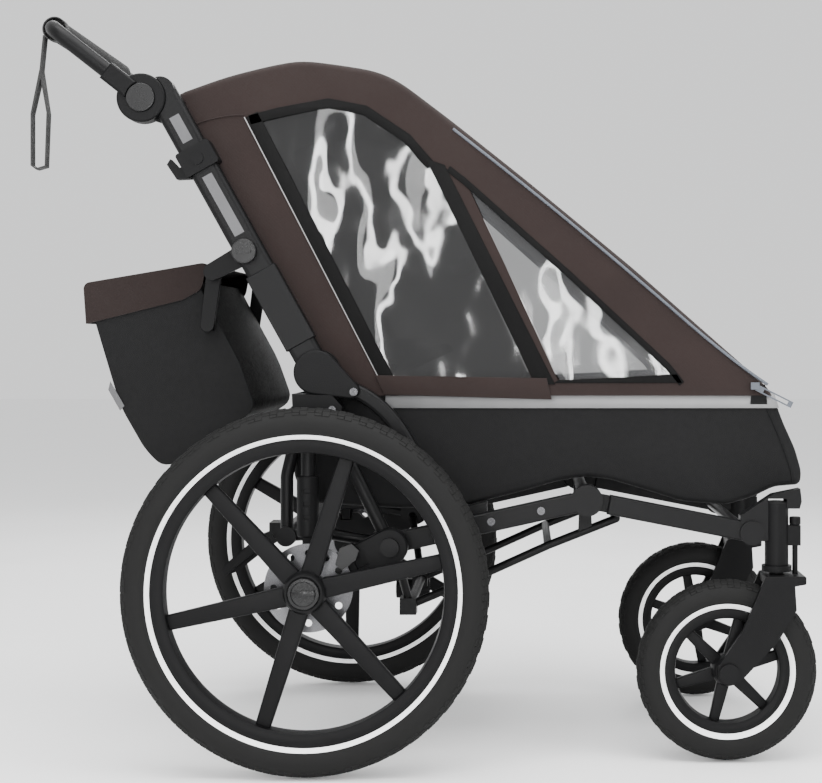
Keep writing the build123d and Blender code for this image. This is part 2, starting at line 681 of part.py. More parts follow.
# ---- front carrier
def front_rails():
    """The folding front rails with the brackets that hold the steering heads."""
    low, high = -rail_lane[1], -rail_lane[0]
    knuckle_low = high - 11
    reach = along(mid_hinge, front_hinge, 0.13)
    rail = slab(beam_outline(reach, front_hinge, 27.0), low, high)
    rail = fillet(rail.edges().filter_by(Axis.Y, reverse=True), 3.0)
    rail += slab(beam_outline(along(mid_hinge, front_hinge, 0.02), reach, 24.0), knuckle_low, high)
    rail += disc(mid_hinge, 22.0, knuckle_low, high)
    rail -= disc(mid_hinge, 9.0 + running_gap, low - 1, high + 1)
    rail += disc(front_hinge, 17.0, low - 4, high)
    bracket = [(600, 312), (634, 308), (674, 322), (686, 364), (684, 382), (645, 374), (600, 344)]
    rail += slab(bracket, low, high)
    x, y = steerer_x, -front_half_track
    rail -= rod((x, y, 290), (x, y, 368), 16.5) + box((x + 8, x + 40), (y - 12, y + 12), (290, 354))
    crossbar = disc((606, 322), 8.0, high - 1, -high + 1)
    return both(rail) + crossbar


def steering_heads():
    """Round housings that hold the fork stems."""
    x, y = steerer_x, -front_half_track
    head = rod((x, y, 266), (x, y, 364), 16.5)
    head += rod((x, y, 266), (x, y, 274), 21.0)
    head = fillet(head.edges().group_by(Axis.Z)[-1], 3.0)
    head -= rod((x, y, 250), (x, y, 352), steerer_dia / 2 + running_gap)
    horn = box((x + 12, x + 33), (y - 7, y + 7), (302, 330))
    horn -= rod((x + 26, y, 290), (x + 26, y, 340), 4.0 + running_gap)
    return both(head + horn)


def lock_pin():
    """The pull pin that stops the fork swivelling."""
    x, y = steerer_x + 26, -front_half_track
    pin = rod((x, y, 262.6), (x, y, 334), 4.0)
    cap = rod((x, y, 330.4), (x, y, 342), 8.0)
    return pin + fillet(cap.edges(), 2.0)


def front_fork():
    """A two-bladed fork with its stem and the front axle."""
    x, y = steerer_x, -front_half_track
    stem = rod((x, y, 250), (x, y, 350), steerer_dia / 2)
    crown = slab([(x - 20, 248), (x + 20, 248), (x + 37, 251), (x + 37, 262), (x - 20, 262)], y - 33, y + 33)
    crown = fillet(crown.edges().filter_by(Axis.Z) + crown.edges().filter_by(Axis.Y), 3.0)
    blade_line = [(x - 20, 262), (x + 20, 262), (x + 23, 215), (x - 4, 170), (front_axle[0] + 16, 116),
                  (front_axle[0], 110), (front_axle[0] - 16, 120), (front_axle[0] - 14, 138), (x - 52, 186)]
    blades = slab(blade_line, y - 33, y - 25) + slab(blade_line, y + 25, y + 33)
    blades = fillet(blades.edges().filter_by(Axis.Y), 5.0)
    axle = disc(front_axle, front_axle_dia / 2, y - 26, y + 26)
    cap = disc(front_axle, 14.0, y - 37, y - 32) + disc(front_axle, 14.0, y + 32, y + 37)
    shape = stem + crown + blades + axle + cap
    shape -= rod((x + 26, y, 240), (x + 26, y, 270), 4.0 + 0.1)
    return shape


def brake_pedal():
    """The foot pedal of the parking brake."""
    pedal = slab([(-76, 286), (-92, 298), (-112, 290), (-163, 246), (-160, 230), (-140, 238), (-100, 270)],
                 -14.0, 14.0)
    pedal = fillet(pedal.edges().filter_by(Axis.Y), 3.0)
    wide = slab([(-118, 281), (-163, 243), (-158, 232), (-112, 270)], -34.0, 34.0)
    pedal += fillet(wide.edges().filter_by(Axis.Z), 3.0) if wide.edges().filter_by(Axis.Z) else wide
    pedal += disc(pedal_hinge, 9.0, -14.0, 14.0)
    pedal += disc(pedal_hinge, 4.0, -20.5, 20.5)
    for y in (-24, 24):
        pedal -= Pos(-138, y, 256) * (Rot(0, -40, 0) * Cylinder(5.0, 60.0))
    return pedal


# ---- export
os.makedirs("parts", exist_ok=True)


def save(shape, name):
    export_step(Pos(-origin_x, 0, 0) * shape, f"parts/{name}.step")


# The left wheels stand at another angle than the right ones.
for side, rear_phase, front_phase in (("right", 12.6, 16.0), ("left", 30.0, 40.0)):
    place = mirrored if side == "left" else (lambda shape: shape)
    save(place(tyre(rear_axle, rear_half_track, rear_wheel_dia, rear_tyre_width, rear_bead_dia)),
         f"rear_tyre_{side}")
    save(place(rear_wheel(rear_phase)), f"rear_wheel_{side}")
    save(place(rear_hub_button()), f"hub_button_{side}")
    save(place(brake_rotor()), f"brake_rotor_{side}")
    save(place(swing_arm()), f"swing_arm_{side}")
    save(place(strut_sleeve()), f"strut_sleeve_{side}")
    save(place(brake_caliper()), f"brake_caliper_{side}")
    save(place(tyre(front_axle, front_half_track, front_wheel_dia, front_tyre_width, front_bead_dia)),
         f"front_tyre_{side}")
    save(place(front_wheel(front_phase)), f"front_wheel_{side}")
    save(place(front_fork()), f"front_fork_{side}")
    save(place(lock_pin()), f"lock_pin_{side}")
    save(place(release_slider()), f"release_slider_{side}")
    save(place(handle_button()), f"handle_button_{side}")
    save(place(bag_lock_knob()), f"bag_lock_knob_{side}")
    save(place(zip_puller()), f"zip_puller_{side}")

save(frame_rails(), "frame_rails")
# Fixed tubes are cut back to the faces of what they are joined to.
save(rear_crossbeam() - frame_rails() - pod_housings(), "rear_crossbeam")
save(underframe_hoop() - frame_rails() - tow_arm_socket() - tow_socket_bore_space(), "underframe_hoop")
save(tow_arm_socket(), "tow_arm_socket")
save(pod_housings(), "pod_housings")
save(side_legs() - frame_rails() - pod_housings(), "side_legs")
save(curved_arms() - frame_rails() - pod_housings(), "curved_arms")
save(frame_fixings(), "frame_fixings")
save(tub_shell(), "tub_shell")
save(seat_pan(), "seat_pan")
save(side_wings(), "side_wings")
save(seat_back(), "seat_back")
save(canopy_shell(), "canopy_shell")
save(side_windows(), "side_windows")
save(front_window(), "front_window")
save(roof_bow(), "roof_bow")
save(bow_pins(), "bow_pins")
save(uprights(), "uprights")
save(upright_strips(), "upright_strips")
save(upright_joints(), "upright_joints")
save(handle_bar_tube(), "handle_tube")
save(handle_hubs(), "handle_hubs")
save(handle_grip(), "handle_grip")
save(wrist_strap(), "wrist_strap")
save(bag_shell(), "bag_shell")
save(bag_flap(), "bag_flap")
save(front_rails(), "front_rails")
save(steering_heads(), "steering_heads")
save(brake_pedal(), "brake_pedal")
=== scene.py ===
import bpy, bmesh, math
from mathutils import Matrix, Vector, noise


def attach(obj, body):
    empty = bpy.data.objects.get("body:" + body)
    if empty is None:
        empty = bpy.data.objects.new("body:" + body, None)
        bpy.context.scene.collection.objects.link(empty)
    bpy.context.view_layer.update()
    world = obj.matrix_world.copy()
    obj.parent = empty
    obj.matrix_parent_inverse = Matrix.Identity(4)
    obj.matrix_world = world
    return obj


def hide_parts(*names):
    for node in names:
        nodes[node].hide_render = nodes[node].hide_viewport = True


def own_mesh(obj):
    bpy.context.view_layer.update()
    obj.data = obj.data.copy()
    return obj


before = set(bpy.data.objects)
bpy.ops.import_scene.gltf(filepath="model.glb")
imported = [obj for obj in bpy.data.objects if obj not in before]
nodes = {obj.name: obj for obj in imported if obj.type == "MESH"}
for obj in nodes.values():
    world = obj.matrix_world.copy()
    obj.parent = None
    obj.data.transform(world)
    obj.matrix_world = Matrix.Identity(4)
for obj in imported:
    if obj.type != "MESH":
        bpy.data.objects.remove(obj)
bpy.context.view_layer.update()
print("frame loaded:", len(nodes), "nodes")

# Pieces are laid out in millimetres from the rear axle: x forward, y to the left, z above the floor.
layout = {"axleX": -151.7, "rearAxle": (0, 250), "frontAxle": (581, 127), "rearLane": 300, "frontLane": 208}


def at(x, y, z):
    return Vector(((x + layout["axleX"]) / 1000, y / 1000, z / 1000))


# camera and lights
view = {"lens": 69.63, "sensor": 36, "shift": (-0.1362, -0.0602), "place": (294.6, -2449, 588)}
cameraData = bpy.data.cameras.new("viewCamera")
cameraData.lens, cameraData.sensor_width = view["lens"], view["sensor"]
cameraData.shift_x, cameraData.shift_y = view["shift"]
camera = bpy.data.objects.new("viewCamera", cameraData)
camera.location = at(*view["place"])
camera.rotation_euler = (math.radians(90), 0, 0)
bpy.context.scene.collection.objects.link(camera)
bpy.context.scene.camera = camera

lighting = {
    "top": dict(place=(200, -700, 2600), aim=(150, 0, 400), size=(2.6, 2.2), power=130),
    "side": dict(place=(-1500, -2300, 1500), aim=(100, 0, 450), size=(1.6, 1.6), power=40),
    "front": dict(place=(2300, -1300, 1500), aim=(300, 0, 400), size=(1.2, 1.8), power=34),
    "back": dict(place=(0, 2400, 2000), aim=(150, 0, 500), size=(2.4, 1.4), power=36),
    "streakOne": dict(place=(-260, -3400, 900), aim=(150, 0, 650), size=(0.16, 1.5), power=34),
    "streakTwo": dict(place=(700, -3400, 700), aim=(250, 0, 600), size=(0.12, 1.3), power=26),
}
for name, setting in lighting.items():
    lightData = bpy.data.lights.new(name + "Light", "AREA")
    lightData.shape = "RECTANGLE"
    lightData.size, lightData.size_y = setting["size"]
    lightData.energy = setting["power"]
    lamp = bpy.data.objects.new(name + "Light", lightData)
    lamp.location = at(*setting["place"])
    lamp.rotation_euler = (at(*setting["aim"]) - lamp.location).to_track_quat("-Z", "Y").to_euler()
    bpy.context.scene.collection.objects.link(lamp)

world = bpy.data.worlds.new("studio")
world.use_nodes = True
world.node_tree.nodes["Background"].inputs["Color"].default_value = (0.97, 0.975, 0.98, 1)
world.node_tree.nodes["Background"].inputs["Strength"].default_value = 1.15
bpy.context.scene.world = world
print("camera and lights placed")


# materials
class Wire:  # one shader socket that can be added and scaled like a number
    def __init__(self, tree, socket):
        self.tree, self.socket = tree, socket

    def math(self, operation, *others):
        box = self.tree.nodes.new("ShaderNodeMath")
        box.operation = operation
        for slot, value in zip(box.inputs, (self,) + others):
            if isinstance(value, Wire):
                self.tree.links.new(value.socket, slot)
            else:
                slot.default_value = value
        return Wire(self.tree, box.outputs[0])

    def flipped(self, operation, other):
        box = self.tree.nodes.new("ShaderNodeMath")
        box.operation = operation
        box.inputs[0].default_value = other
        self.tree.links.new(self.socket, box.inputs[1])
        return Wire(self.tree, box.outputs[0])

    def __add__(self, other):
        return self.math("ADD", other)

    def __sub__(self, other):
        return self.math("SUBTRACT", other)

    def __rsub__(self, other):
        return self.flipped("SUBTRACT", other)

    def __mul__(self, other):
        return self.math("MULTIPLY", other)

    def __pow__(self, other):
        return self.math("POWER", other)

    def wave(self):
        return self.math("SINE")

    __radd__ = __add__
    __rmul__ = __mul__


class Finish:  # a material under construction
    def __init__(self, name, color, roughness, **fixed):
        self.material = bpy.data.materials.new(name)
        self.material.use_nodes = True
        self.tree = self.material.node_tree
        self.shader = self.tree.nodes["Principled BSDF"]
        self.shader.inputs["Base Color"].default_value = (*color, 1)
        self.shader.inputs["Roughness"].default_value = roughness
        for key, value in fixed.items():
            self.shader.inputs[key.replace("_", " ")].default_value = value
        self.place = self.node("ShaderNodeTexCoord", output="Object")

    def node(self, kind, settings=(), inputs=(), output=0):
        made = self.tree.nodes.new(kind)
        for key, value in dict(settings).items():
            setattr(made, key, value)
        for key, value in dict(inputs).items():
            if isinstance(value, Wire):
                self.tree.links.new(value.socket, made.inputs[key])
            else:
                made.inputs[key].default_value = value
        return Wire(self.tree, made.outputs[output])

    def axes(self):
        made = self.tree.nodes.new("ShaderNodeSeparateXYZ")
        self.tree.links.new(self.place.socket, made.inputs[0])
        return [Wire(self.tree, made.outputs[k]) for k in range(3)]

    def cloud(self, scale, detail=3.0, roughness=0.5):
        return self.node("ShaderNodeTexNoise", inputs={"Vector": self.place, "Scale": scale, "Detail": detail,
                                                       "Roughness": roughness}, output="Fac")

    def blendColor(self, amount, first, second):
        made = self.tree.nodes.new("ShaderNodeMix")
        made.data_type = "RGBA"
        self.tree.links.new(amount.socket, made.inputs[0])
        for slot, value in ((made.inputs[6], first), (made.inputs[7], second)):
            if isinstance(value, Wire):
                self.tree.links.new(value.socket, slot)
            else:
                slot.default_value = (*value, 1)
        return Wire(self.tree, made.outputs[2])

    def ramp(self, value, low, high, outLow=0.0, outHigh=1.0):
        return self.node("ShaderNodeMapRange", inputs={"Value": value, "From Min": low, "From Max": high,
                                                       "To Min": outLow, "To Max": outHigh})

    def feed(self, key, wire):
        self.tree.links.new(wire.socket, self.shader.inputs[key])

    def relief(self, height, distance, strength=1.0):
        bump = self.node("ShaderNodeBump",
                         inputs={"Height": height, "Distance": distance, "Strength": strength})
        self.feed("Normal", bump)


def weaveHeight(finish, threads):
    x, y, z = finish.axes()
    return ((x + y * 0.6) * threads).wave() * ((z + y * 0.8) * threads).wave()


def clothFinish(name, color, lighter, threads, depth, roughness, patch=9.0, **fixed):
    finish = Finish(name, color, roughness, **fixed)
    weave = weaveHeight(finish, threads)
    broad, fine = finish.cloud(patch, 4), finish.cloud(170, 2)
    finish.feed("Base Color", finish.blendColor(
        finish.ramp(broad * 0.6 + fine * 0.25 + weave * 0.12, 0.2, 0.75), color, lighter))
    finish.feed("Roughness", finish.ramp(fine + weave * 0.1, 0.3, 0.75, roughness - 0.07, roughness + 0.1))
    finish.relief(weave * 0.5 + fine * 0.5 + broad * 3.0, depth)
    return finish.material


def mouldedFinish(name, color, roughness, grain=900, depth=0.00025, **fixed):
    finish = Finish(name, color, roughness, **fixed)
    fine, broad = finish.cloud(grain, 3), finish.cloud(14, 4)
    lighter = [c * 1.35 for c in color]
    finish.feed("Base Color", finish.blendColor(finish.ramp(broad, 0.3, 0.7), color, lighter))
    mixed = broad * 0.6 + fine * 0.4
    finish.feed("Roughness", finish.ramp(mixed, 0.3, 0.7, roughness - 0.06, roughness + 0.09))
    finish.relief(fine, depth)
    return finish.material


def tyreFinish():
    finish = Finish("tyreRubber", (0.004, 0.004, 0.004), 0.66, Specular_IOR_Level=0.16)
    broad, fine = finish.cloud(22, 4), finish.cloud(1100, 2)
    finish.feed("Base Color", finish.blendColor(finish.ramp(broad, 0.3, 0.7), (0.0035, 0.0035, 0.0035),
                                                (0.007, 0.007, 0.0068)))
    finish.feed("Roughness", finish.ramp(broad, 0.3, 0.7, 0.6, 0.82))
    finish.relief(fine + broad, 0.0003)
    return finish.material


def filmFinish(name, color, alpha, wrinkle):
    finish = Finish(name, color, 0.08, Alpha=alpha, Specular_IOR_Level=0.75,
                    Coat_Weight=0.3, Coat_Roughness=0.03)
    long, short = finish.cloud(6, 1), finish.cloud(19, 1)
    finish.feed("Roughness", finish.ramp(short, 0.3, 0.7, 0.03, 0.09))
    finish.relief(long + short * 0.16, wrinkle)
    finish.material.surface_render_method = "BLENDED"
    return finish.material


def netFinish(name, color, dot, alpha):
    finish = Finish(name, color, 0.8, Alpha=alpha)
    x, y, z = finish.axes()
    dots = ((x + y) * 900).wave() * ((z + y * 0.4) * 900).wave()
    finish.feed("Base Color", finish.blendColor(finish.ramp(dots, 0.1, 0.5), color, dot))
    finish.relief(dots, 0.0003)
    return finish.material


def reflectiveFinish(name, color, roughness, paintedGlow=0.0):
    finish = Finish(name, color, roughness, Emission_Strength=paintedGlow)
    x, y, z = finish.axes()
    beads = ((x + y) * 2600).wave() * (z * 2600).wave()
    broad = finish.cloud(30, 3)
    shade = finish.blendColor(finish.ramp(broad + beads * 0.15, 0.25, 0.75), [c * 0.9 for c in color], color)
    finish.feed("Base Color", shade)
    # a nonzero paintedGlow makes the surface emit its own colour: a painted glow standing in for the light its
    # reflective beads send back
    if paintedGlow:
        finish.feed("Emission Color", shade)
    finish.relief(beads, 0.00012)
    return finish.material


def brushedFinish():
    finish = Finish("brushedSteel", (0.12, 0.12, 0.125), 0.36, Metallic=1.0)
    x, _, z = finish.axes()
    around = ((x - layout["axleX"] / 1000) ** 2.0 + (z - 0.25) ** 2.0) ** 0.5
    lines = (around * 5200).wave()
    finish.feed("Roughness", finish.ramp(lines + finish.cloud(60), 0.0, 1.4, 0.24, 0.46))
    finish.relief(lines, 0.00006)
    return finish.material


finishes = {
    "brown": clothFinish("brownCanvas", (0.0145, 0.0092, 0.0084), (0.0215, 0.0145, 0.0132), 3300, 0.00045,
                         0.78, Specular_IOR_Level=0.12, Sheen_Weight=0.06, Sheen_Roughness=0.5),
    "charcoal": clothFinish("charcoalCanvas", (0.004, 0.004, 0.0042), (0.0065, 0.0065, 0.0068), 4200,
                            0.0003, 0.62, Specular_IOR_Level=0.12),
    "lid": clothFinish("lidCanvas", (0.011, 0.0071, 0.0065), (0.0185, 0.0125, 0.0115), 3300, 0.00045, 0.8,
                       Specular_IOR_Level=0.12, Sheen_Weight=0.06, Sheen_Roughness=0.5),
    "seat": clothFinish("seatCloth", (0.007, 0.007, 0.0075), (0.018, 0.018, 0.019), 2400, 0.0006, 0.85,
                        Specular_IOR_Level=0.3),
    "edging": clothFinish("blackEdging", (0.002, 0.002, 0.002), (0.0045, 0.0045, 0.0045), 3000, 0.0003,
                          0.6, Specular_IOR_Level=0.08),
    "plastic": mouldedFinish("grainedPlastic", (0.0032, 0.0032, 0.0034), 0.42, Specular_IOR_Level=0.09),
    "gloss": mouldedFinish("smoothPlastic", (0.003, 0.003, 0.0032), 0.25, 300, 0.0001,
                           Specular_IOR_Level=0.25),
    "powder": mouldedFinish("powderCoat", (0.0028, 0.0028, 0.003), 0.36, 1500, 0.0002,
                            Specular_IOR_Level=0.12),
    "foam": mouldedFinish("gripFoam", (0.007, 0.007, 0.007), 0.8, 2600, 0.0004, Specular_IOR_Level=0.3),
    "strip": mouldedFinish("greyInlay", (0.05, 0.05, 0.053), 0.4, 700, 0.0001),
    "rubber": tyreFinish(),
    "steel": brushedFinish(),
    # the clear film is tinted near black at 0.68 alpha: painted shade of the dark inside seen through it
    "film": filmFinish("clearFilm", (0.0025, 0.0025, 0.0027), 0.68, 0.011),
    # a grey, half-opaque film on the front side windows: painted shade standing in for the dim inside seen
    # through the clear film
    "paintedShadeFilm": filmFinish("paintedShadeFilm", (0.05, 0.051, 0.053), 0.5, 0.006),
    "net": netFinish("innerNet", (0.003, 0.003, 0.003), (0.022, 0.022, 0.022), 0.78),
    # the tyre rings get a painted glow of 0.35, though they are no lamp
    "ring": reflectiveFinish("reflectiveRingPaintedGlow", (0.92, 0.92, 0.92), 0.35, 0.35),
    "band": reflectiveFinish("reflectiveBand", (0.21, 0.21, 0.212), 0.4),
    "piping": clothFinish("bluePiping", (0.05, 0.058, 0.072), (0.085, 0.095, 0.115), 2600, 0.0003, 0.6),
    "web": clothFinish("strapWeb", (0.006, 0.006, 0.006), (0.014, 0.014, 0.014), 2100, 0.0006, 0.7),
}
print("materials made:", len(finishes))


# building helpers
def shadeByAngle(mesh, degrees):
    for face in mesh.polygons:
        face.use_smooth = True
    mesh.set_sharp_from_angle(angle=math.radians(degrees))


def toPiece(bm, name, body, finish, degrees=35, outward=True):
    bmesh.ops.remove_doubles(bm, verts=bm.verts, dist=0.00002)
    if outward:
        bmesh.ops.recalc_face_normals(bm, faces=bm.faces)
    mesh = bpy.data.meshes.new(name)
    bm.to_mesh(mesh)
    bm.free()
    shadeByAngle(mesh, degrees)
    mesh.materials.append(finishes[finish])
    piece = bpy.data.objects.new(name, mesh)
    bpy.context.scene.collection.objects.link(piece)
    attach(piece, body)
    return piece


def bakeModifiers(piece):  # keeps the shaped mesh and drops the modifier stack
    shaped = bpy.data.meshes.new_from_object(piece.evaluated_get(bpy.context.evaluated_depsgraph_get()))
    old = piece.data
    piece.modifiers.clear()
    piece.data = shaped
    shaped.name = old.name
    bpy.data.meshes.remove(old)
    return piece


def addPrism(bm, outline, yLow, yHigh):  # an (x, z) outline pushed sideways
    base = bm.faces.new([bm.verts.new(at(x, yLow, z)) for x, z in outline])
    pushed = bmesh.ops.extrude_face_region(bm, geom=[base])
    moved = [g for g in pushed["geom"] if isinstance(g, bmesh.types.BMVert)]
    bmesh.ops.translate(bm, verts=moved, vec=(0, (yHigh - yLow) / 1000, 0))
    bmesh.ops.recalc_face_normals(bm, faces=bm.faces)
    return bm


def bevelEdges(bm, edges, width, segments, clamp=True):
    bmesh.ops.bevel(bm, geom=list(edges), offset=width / 1000, offset_type="OFFSET", affect="EDGES",
                    segments=segments, profile=0.5, material=-1, clamp_overlap=clamp)


def rounded(outline, radius, steps=4):  # every corner of a closed outline eased by a short curve
    eased = []
    for i, corner in enumerate(outline):
        before, after = outline[i - 1], outline[(i + 1) % len(outline)]
        ends = []
        for other in (before, after):
            gap = math.dist(corner, other)
            share = min(radius, gap * 0.45) / gap
            ends.append((corner[0] + (other[0] - corner[0]) * share,
                         corner[1] + (other[1] - corner[1]) * share))
        for k in range(steps + 1):
            t = k / steps
            eased.append(tuple((1 - t) ** 2 * ends[0][j] + 2 * t * (1 - t) * corner[j] + t * t * ends[1][j]
                               for j in range(2)))
    return eased


def inset(outline, depth):  # a closed outline moved inwards by depth
    area = sum(a[0] * b[1] - b[0] * a[1] for a, b in zip(outline, outline[1:] + outline[:1]))
    turn = 1 if area > 0 else -1
    moved = []
    for i, corner in enumerate(outline):
        before, after = outline[i - 1], outline[(i + 1) % len(outline)]
        first = Vector((corner[0] - before[0], corner[1] - before[1])).normalized()
        second = Vector((after[0] - corner[0], after[1] - corner[1])).normalized()
        normal = Vector((-first.y - second.y, first.x + second.x))
        scale = depth * turn / max(0.2, 1 + first.dot(second))
        moved.append((corner[0] + normal.x * scale, corner[1] + normal.y * scale))
    return moved


def addPillow(bm, outline, half, edge, steps=4, lane=0.0):  # a prism whose two rims are rounded over
    addPrism(bm, outline, lane - half, lane + half)
    ends = (at(0, lane - half, 0).y, at(0, lane + half, 0).y)
    rims = [e for e in bm.edges if any(all(abs(v.co.y - y) < 1e-6 for v in e.verts) for y in ends)]
    bevelEdges(bm, rims, edge, steps, clamp=False)
    return bm


def isCross(edge):  # runs straight across the trailer
    a, b = edge.verts[0].co, edge.verts[1].co
    return abs(a.x - b.x) < 1e-5 and abs(a.z - b.z) < 1e-5


def spinProfile(bm, points, centre, lane, steps, closed=True):
    verts = [bm.verts.new(at(centre[0] + r, lane + y, centre[1])) for r, y in points]
    pairs = list(zip(verts, verts[1:])) + ([(verts[-1], verts[0])] if closed else [])
    edges = [bm.edges.new(pair) for pair in pairs]
    bmesh.ops.spin(bm, geom=verts + edges, cent=at(centre[0], lane, centre[1]), axis=(0, 1, 0),
                   dvec=(0, 0, 0), angle=math.tau, steps=steps, use_merge=True)


def bothSides(make, *kind):
    for side, word in ((-1, "right"), (1, "left")):
        make(*kind, side, word)


def along(a, b, share, offset=0.0):
    dx, dz = b[0] - a[0], b[1] - a[1]
    size = math.hypot(dx, dz)
    return (a[0] + dx * share - dz / size * offset, a[1] + dz * share + dx / size * offset)


def bandOutline(points, left, right):  # an open chain of (x, z) points widened to both sides
    sides = ([], [])
    for i, point in enumerate(points):
        before, after = points[max(i - 1, 0)], points[min(i + 1, len(points) - 1)]
        for row, offset in zip(sides, (left, -right)):
            dx, dz = after[0] - before[0], after[1] - before[1]
            size = math.hypot(dx, dz)
            row.append((point[0] - dz / size * offset, point[1] + dx / size * offset))
    return sides[0] + sides[1][::-1]


# wheels, made the same way for the large rear and the small front ones
tyres = {
    "rear": dict(centre="rearAxle", lane="rearLane", outer=248.9, middle=226.2, half=23.3, bead=203.5,
                 lugs=150, ring=(-55, -34), rimTop=208, rim=189, bore=6.5, hub=28, hubHalf=17,
                 spokes=(27, 21, 17, 12), spokeEdge=3.2, phase=(12.6, 30)),
    "front": dict(centre="frontAxle", lane="frontLane", outer=126.2, middle=104.8, half=21.7, bead=83.3,
                  lugs=84, ring=(-52, -28), rimTop=88, rim=73, bore=5.2, hub=20, hubHalf=24,
                  spokes=(18, 14, 13, 10), spokeEdge=2.2, phase=(16, 40)),
}
tread = {"beadHalf": 11.6, "column": 5.0, "groove": 0.7, "height": 1.1}
stripe = {"proud": 0.7, "sunk": 0.6, "steps": 160}


def makeTyre(kind, side, word):
    t = tyres[kind]
    centre, lane = layout[t["centre"]], side * layout[t["lane"]]
    rise = t["outer"] - t["middle"]
    points = [(t["middle"] + rise * math.sin(math.radians(a)), t["half"] * math.cos(math.radians(a)))
              for a in range(-48, 229, 12)]
    points = [(t["bead"], tread["beadHalf"])] + points + [(t["bead"], -tread["beadHalf"])]
    bm = bmesh.new()
    spinProfile(bm, points, centre, lane, t["lugs"])
    bmesh.ops.recalc_face_normals(bm, faces=bm.faces)
    hubPoint = at(centre[0], lane, centre[1])
    lugs = []
    for face in bm.faces:
        spot = face.calc_center_median() - hubPoint
        radius, turn = math.hypot(spot.x, spot.z) * 1000, math.atan2(spot.z, spot.x) % math.tau
        step = int(turn / math.tau * t["lugs"])
        column = int(abs(spot.y) * 1000 / tread["column"])
        if radius > t["middle"] + rise * 0.5 and (step + column) % 3 != 0:
            lugs.append(face)
    bmesh.ops.inset_individual(bm, faces=lugs, thickness=tread["groove"] / 1000, depth=tread["height"] / 1000,
                               use_even_offset=True)
    piece = toPiece(bm, f"{kind}Tyre_{word}", f"{kind}_wheel_{word}", "rubber", 28)
    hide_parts(f"{kind}_tyre_{word}")


def makeRing(kind, side, word):
    t = tyres[kind]
    centre, lane = layout[t["centre"]], side * layout[t["lane"]]
    rise = t["outer"] - t["middle"]
    for face in (1, -1):
        low, high = t["ring"]
        bend = [math.radians(low + (high - low) * k / 4) for k in range(5)]
        front, back = [[(t["middle"] + (rise + lift) * math.sin(a), face * (t["half"] + lift) * math.cos(a))
                        for a in bend] for lift in (stripe["proud"], -stripe["sunk"])]
        bm = bmesh.new()
        spinProfile(bm, front + back[::-1], centre, lane, stripe["steps"])
        where = "outer" if face == side else "inner"
        toPiece(bm, f"{kind}Ring_{where}_{word}", f"{kind}_wheel_{word}", "ring", 50)


def makeRim(kind, side, word):
    t = tyres[kind]
    centre, lane = layout[t["centre"]], side * layout[t["lane"]]
    r, top = t["rim"], t["rimTop"]
    wall = [(r + 0.6, 12.4), (r + 3.4, 14.6), (top - 1, 14.9), (top, 14.2), (top - 0.6, 12.6),
            (t["bead"] - 0.6, 12.2), (t["bead"] - 3, 8)]
    points = [(r - 1.2, 0)] + wall + [(x, -y) for x, y in wall[::-1]]
    bm = bmesh.new()
    spinProfile(bm, points, centre, lane, 128)
    hub, bore, face = t["hub"], t["bore"], side * t["hubHalf"]
    hubPoints = [(bore, -face), (hub - 4, -face), (hub, -face * 0.75), (hub + 1.5, -face * 0.4),
                 (hub + 1.5, face * 0.4), (hub, face * 0.8), (hub - 2.5, face)]
    if kind == "rear":
        hubPoints += [(22.6, face), (22.4, side * 9.4), (bore, side * 9.4)]
    else:
        hubPoints += [(bore, face)]
    spinProfile(bm, hubPoints, centre, lane, 64)
    wide, narrow, thick, thin = t["spokes"]
    start = t["phase"][0 if side < 0 else 1]
    for number in range(6):
        spoke = bmesh.new()
        bmesh.ops.create_cube(spoke, size=1.0)
        for vert in spoke.verts:
            outer = vert.co.x > 0
            vert.co = Vector(((r + 1.5 if outer else hub - 3) / 1000,
                              vert.co.y * (thin if outer else thick) / 1000,
                              vert.co.z * (narrow if outer else wide) / 1000))
        bevelEdges(spoke, spoke.edges, t["spokeEdge"], 3)
        turn = Matrix.Rotation(-math.radians(start + 60 * number), 4, "Y")
        bmesh.ops.transform(spoke, matrix=Matrix.Translation(at(centre[0], lane, centre[1])) @ turn,
                            verts=spoke.verts)
        part = bpy.data.meshes.new("spokePart")
        spoke.to_mesh(part)
        spoke.free()
        bm.from_mesh(part)
        bpy.data.meshes.remove(part)
    piece = toPiece(bm, f"{kind}Rim_{word}", f"{kind}_wheel_{word}", "plastic", 40)
    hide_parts(f"{kind}_wheel_{word}")


def makeHubCap(side, word):
    bm = bmesh.new()
    centre, lane = layout["rearAxle"], side * layout["rearLane"]
    points = [(0, side * 13), (21.7, side * 13), (21.9, side * 18.6), (20.6, side * 20.4), (17, side * 20.6),
              (16, side * 19.2), (0, side * 19.0)]
    spinProfile(bm, points, centre, lane, 64, closed=False)
    bar = bmesh.ops.create_cube(bm, size=1.0)["verts"]
    bmesh.ops.scale(bm, verts=bar, vec=(0.031, 0.0022, 0.009))
    bmesh.ops.translate(bm, verts=bar, vec=at(centre[0], lane + side * 19.6, centre[1]))
    bevelEdges(bm, {e for v in bar for e in v.link_edges}, 0.8, 2)
    piece = toPiece(bm, f"hubCap_{word}", f"hub_button_{word}", "gloss", 40)
    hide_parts(f"hub_button_{word}")


for kind in ("rear", "front"):
    bothSides(makeTyre, kind)
    bothSides(makeRing, kind)
    bothSides(makeRim, kind)
bothSides(makeHubCap)
print("wheels made")
